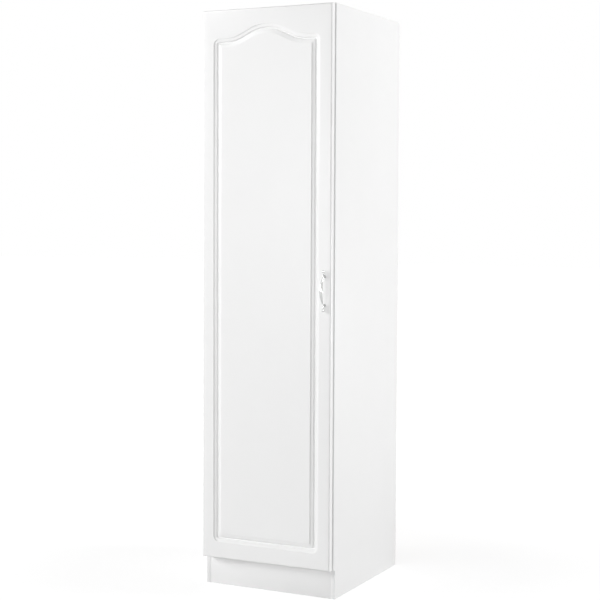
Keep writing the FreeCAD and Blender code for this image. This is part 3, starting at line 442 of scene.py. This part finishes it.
def groove_stations(low, high):
    """The moulding's middle line, anticlockwise from the front: (point, normal out, mitre or None)."""
    half = high[0] - STILE - MOULD_HALF
    foot = low[2] + RAIL_BOTTOM + MOULD_HALF
    shoulder = high[2] - SHOULDER_DROP - MOULD_HALF
    peak = high[2] - PEAK_DROP - MOULD_HALF
    crown = ARCH_RADIUS - MOULD_HALF
    hollow = SHOULDER_RADIUS + MOULD_HALF
    sine, cosine = math.sin(ARCH_ANGLE), math.cos(ARCH_ANGLE)
    crown_x, crown_z = crown * sine, peak - crown * (1 - cosine)
    hollow_z = shoulder + hollow * (1 - cosine)
    hollow_x = crown_x + (crown_z - hollow_z) * cosine / sine
    shoulder_x = hollow_x + hollow * sine
    turn = half - CORNER_RADIUS
    low_turn, high_turn = foot + CORNER_RADIUS, shoulder - CORNER_RADIUS
    stations = []

    def corner(x, z, from_angle):
        first = (math.cos(from_angle), math.sin(from_angle))
        second = (-first[1], first[0])
        mitre = (first[0] + second[0], first[1] + second[1])
        for _, n in arc_points((0, 0), 1, from_angle, from_angle + math.pi / 2, CORNER_STEPS):
            stations.append(((x, z), n, mitre))

    def line(x0, z0, x1, z1, n, count):
        for i in range(1, count):
            t = i / count
            stations.append(((x0 + (x1 - x0) * t, z0 + (z1 - z0) * t), n, None))

    corner(turn, low_turn, -math.pi / 2)
    line(half, low_turn, half, high_turn, (1, 0), SIDE_STEPS)
    corner(turn, high_turn, 0)
    line(turn, shoulder, shoulder_x, shoulder, (0, 1), FLAT_STEPS)
    right = []
    down = 1.5 * math.pi
    flank = arc_points((shoulder_x, shoulder + hollow), hollow, down, down - ARCH_ANGLE, CURVE_STEPS)
    right += [(p, (-n[0], -n[1]), None) for p, n in flank]
    for i in range(1, SLOPE_STEPS):
        t = i / SLOPE_STEPS
        point = (hollow_x + (crown_x - hollow_x) * t, hollow_z + (crown_z - hollow_z) * t)
        right.append((point, (sine, cosine), None))
    crest = arc_points((0, peak - crown), crown, math.pi / 2 - ARCH_ANGLE, math.pi / 2, CURVE_STEPS)
    right += [(p, n, None) for p, n in crest]
    stations += right
    stations += [((-p[0], p[1]), (-n[0], n[1]), None) for p, n, _ in reversed(right[:-1])]
    line(-shoulder_x, shoulder, -turn, shoulder, (0, 1), FLAT_STEPS)
    corner(-turn, high_turn, math.pi / 2)
    line(-half, high_turn, -half, low_turn, (-1, 0), SIDE_STEPS)
    corner(-turn, low_turn, math.pi)
    line(-turn, foot, turn, foot, (0, -1), FOOT_STEPS)
    return stations


def place_at(station, offset):
    (x, z), n, mitre = station
    if not mitre:
        return x + n[0] * offset, z + n[1] * offset
    reach = offset + CORNER_RADIUS
    way = n if reach >= 0 else mitre
    return x + way[0] * reach, z + way[1] * reach


def groove_profile():
    """(offset out from the middle line, depth) from the outer edge to the inner edge."""
    half = [(MOULD_HALF + 2 * LIP, 0.0)]
    for i in range(LIP_STEPS + 1):
        a = math.pi / 2 * i / LIP_STEPS
        half.append((MOULD_HALF + LIP * (1 - math.sin(a)), LIP * (1 - math.cos(a))))
    for i in range(QUIRK_STEPS + 1):
        a = math.pi / 2 * i / QUIRK_STEPS
        half.append((MOULD_HALF - LIP * (1 - math.cos(a)), QUIRK_DEPTH - LIP * (1 - math.sin(a))))
    sink = CHANNEL_DEPTH - QUIRK_DEPTH
    radius = (CHANNEL_HALF ** 2 + sink ** 2) / (2 * sink)
    brink = math.asin(CHANNEL_HALF / radius)
    half += [(CHANNEL_HALF + LIP, QUIRK_DEPTH), (CHANNEL_HALF + LIP * 0.25, QUIRK_DEPTH + LIP * 0.25)]
    for i in range(1, CHANNEL_STEPS + 1):
        a = brink * (1 - i / CHANNEL_STEPS)
        half.append((radius * math.sin(a), CHANNEL_DEPTH - radius * (1 - math.cos(a))))
    return half + [(-d, depth) for d, depth in reversed(half[:-1])]


def strip(bm, ring_a, ring_b, smooth=True):
    count = len(ring_a)
    for i in range(count):
        j = (i + 1) % count
        face = bm.faces.new((ring_a[i], ring_a[j], ring_b[j], ring_b[i]))
        face.smooth = smooth


def rectangle(bm, half_x, z0, z1, y):
    corners = ((half_x, z0), (half_x, z1), (-half_x, z1), (-half_x, z0))
    return [bm.verts.new((x, y, z)) for x, z in corners]


def ring_edges(bm, ring):
    pairs = [(ring[i], ring[i - 1]) for i in range(len(ring))]
    return [bm.edges.get(pair) or bm.edges.new(pair) for pair in pairs]


def make_door(material):
    low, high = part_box("door_panel")
    bm = bmesh.new()
    front, back = low[1], high[1]
    stations = groove_stations(low, high)
    rings = []
    for offset, depth in groove_profile():
        places = [place_at(station, offset) for station in stations]
        rings.append([bm.verts.new((x, front + depth, z)) for x, z in places])
    for a, b in zip(rings, rings[1:]):
        strip(bm, a, b)
    edge_rings = []
    for i in range(EDGE_STEPS + 1):
        a = math.pi / 2 * i / EDGE_STEPS
        inset = DOOR_EDGE_RADIUS * (1 - math.sin(a))
        y = front + DOOR_EDGE_RADIUS * (1 - math.cos(a))
        edge_rings.append(rectangle(bm, high[0] - inset, low[2] + inset, high[2] - inset, y))
    for i in range(BACK_STEPS + 1):
        a = math.pi / 2 * i / BACK_STEPS
        inset = DOOR_BACK_RADIUS * (1 - math.cos(a))
        y = back - DOOR_BACK_RADIUS * (1 - math.sin(a))
        edge_rings.append(rectangle(bm, high[0] - inset, low[2] + inset, high[2] - inset, y))
    for a, b in zip(edge_rings, edge_rings[1:]):
        strip(bm, a, b)
    face = ring_edges(bm, edge_rings[0]) + ring_edges(bm, rings[0])
    bmesh.ops.triangle_fill(bm, use_beauty=True, edges=face)
    bm.faces.new(rings[-1])
    fill = ring_edges(bm, edge_rings[-1])
    for name in frame["nodes"]:
        if name.startswith("hinge_cup_") and name != "hinge_cup_pins":
            lo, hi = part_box(name)
            centre = (hi[0] + CUP_PLAY - CUP_RADIUS, (lo[2] + hi[2]) / 2)
            circle = [p for p, _ in arc_points(centre, CUP_RADIUS, 0, 2 * math.pi, CUP_FACETS)][:-1]
            rim = [bm.verts.new((x, back, z)) for x, z in circle]
            floor = [bm.verts.new((x, back - CUP_DEPTH, z)) for x, z in circle]
            fill += ring_edges(bm, rim)
            strip(bm, rim, floor)
            bm.faces.new(floor)
    bmesh.ops.triangle_fill(bm, use_beauty=True, edges=fill)
    bmesh.ops.remove_doubles(bm, verts=bm.verts, dist=WELD)
    bmesh.ops.recalc_face_normals(bm, faces=bm.faces)
    stand_in("door_front", bm, "door_panel", [material])


def shared_corners(node):
    """A CAD node's shape with its corners shared and its flat faces whole."""
    source = frame["nodes"][node].data
    bm = bmesh.new()
    corners = [bm.verts.new(v.co) for v in source.vertices]
    for polygon in source.polygons:
        bm.faces.new([corners[i] for i in polygon.vertices])
    bmesh.ops.remove_doubles(bm, verts=bm.verts, dist=TOUCH / 10)
    bmesh.ops.dissolve_limit(bm, angle_limit=FLAT_ANGLE, verts=bm.verts, edges=bm.edges)
    return bm


def make_board(node, materials):
    """A board with its long edges eased; the sawn edges that no band covers are raw."""
    bm = shared_corners(node)
    low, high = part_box(node)
    flat_on = high[1] - low[1] > THICKEST_BOARD
    for face in bm.faces:
        middle = face.calc_center_median()
        rear = flat_on and face.normal.y > FACING and middle.y > high[1] - TOUCH
        foot = face.normal.z < -FACING and middle.z < TOUCH
        face.material_index = 1 if rear or foot else 0
    sharp = [e for e in bm.edges if len(e.link_faces) == 2 and e.is_convex
             and e.calc_face_angle() > SHARP_ANGLE and e.calc_length() > LONG_EDGE]
    bmesh.ops.bevel(bm, geom=sharp, offset=BOARD_EASE, segments=EASE_SEGMENTS, profile=0.5,
                    affect="EDGES", material=0, clamp_overlap=False)
    for face in bm.faces:
        face.smooth = max(abs(c) for c in face.normal) < SQUARE_ON
    stand_in(node + "_eased", bm, node, materials)


def islands(node):
    """The boxes (low, high) of a node's separate solids."""
    bm = shared_corners(node)
    left = set(bm.verts)
    boxes = []
    while left:
        stack = [left.pop()]
        found = []
        while stack:
            vert = stack.pop()
            found.append(vert.co.copy())
            for edge in vert.link_edges:
                other = edge.other_vert(vert)
                if other in left:
                    left.remove(other)
                    stack.append(other)
        boxes.append([[pick(co[k] for co in found) for k in range(3)] for pick in (min, max)])
    bm.free()
    return sorted(boxes)


def add_screw(bm, low, high, out, head, shank, countersunk):
    """One screw along out, filling its box: a head with a cross recess, on a pointed shank."""
    out = Vector(out)
    axis = max(range(3), key=lambda k: abs(out[k]))
    across = [k for k in range(3) if k != axis]
    centre = [(a + b) / 2 for a, b in zip(low, high)]
    top = high[axis] if out[axis] > 0 else low[axis]
    length = high[axis] - low[axis]
    radius = (high[across[0]] - low[across[0]]) / 2

    def at(u, v, depth):
        place = list(centre)
        place[axis] = top - out[axis] * depth
        place[across[0]] += u
        place[across[1]] += v
        return bm.verts.new(place)

    def ring(r, depth):
        turns = [2 * math.pi * i / SCREW_FACETS for i in range(SCREW_FACETS)]
        return [at(r * math.cos(a), r * math.sin(a), depth) for a in turns]

    def cross(share, depth):
        reach, half = radius * RECESS_REACH * share, radius * RECESS_HALF * share
        arm = [(reach, -half), (reach, half), (half, half)]
        turned = []
        for c, s in ((1, 0), (0, 1), (-1, 0), (0, -1)):
            turned += [(u * c - v * s, u * s + v * c) for u, v in arm]
        return [at(u, v, depth) for u, v in turned]

    ease = head * HEAD_EASE
    if countersunk:
        profile = [(radius - ARRIS, 0.0), (radius, ARRIS), (shank, head)]
    else:
        profile = [(radius - ease, 0.0), (radius - ease * 0.3, ease * 0.3), (radius, ease),
                   (radius, head - ARRIS), (radius - ARRIS, head), (shank, head)]
    profile += [(shank, length - shank), (shank * POINT, length - TOUCH)]
    rings = [ring(r, depth) for r, depth in profile]
    for a, b in zip(rings, rings[1:]):
        strip(bm, a, b)
    bm.faces.new(rings[-1])
    mouth, foot = cross(1.0, 0.0), cross(RECESS_FOOT, head * RECESS_DEPTH)
    face = ring_edges(bm, rings[0]) + ring_edges(bm, mouth)
    bmesh.ops.triangle_fill(bm, use_beauty=True, edges=face)
    strip(bm, mouth, foot, False)
    bm.faces.new(foot)


def make_screws(node, material):
    bm = bmesh.new()
    for low, high in islands(node):
        add_screw(bm, low, high, *SCREWS[node])
    bmesh.ops.recalc_face_normals(bm, faces=bm.faces)
    stand_in(node + "_cross", bm, node, [material], SCREW_CREASE)


# ---- put it together ---------------------------------------------------------------------
def dress():
    looks = {"white_board": melamine(), "door_foil": foil(), "hardboard": hardboard(),
             "white_plastic": plastic(), "nickel_steel": nickel(), "cast_zinc": zinc(),
             "chrome": chrome(), "beech": beech(), "clear_bumper": bumper()}
    for name, node in frame["nodes"].items():
        for slot in node.material_slots:
            slot.material = looks[slot_of[name]]
    make_door(looks["door_foil"])
    raw = chipboard()
    for node in BOARD_NODES:
        make_board(node, [looks["white_board"], raw])
    for node in SCREWS:
        make_screws(node, looks["nickel_steel"])


make_camera()
make_world()
make_lights()
make_floor()
dress()
bpy.context.scene.view_settings.view_transform = "Standard"
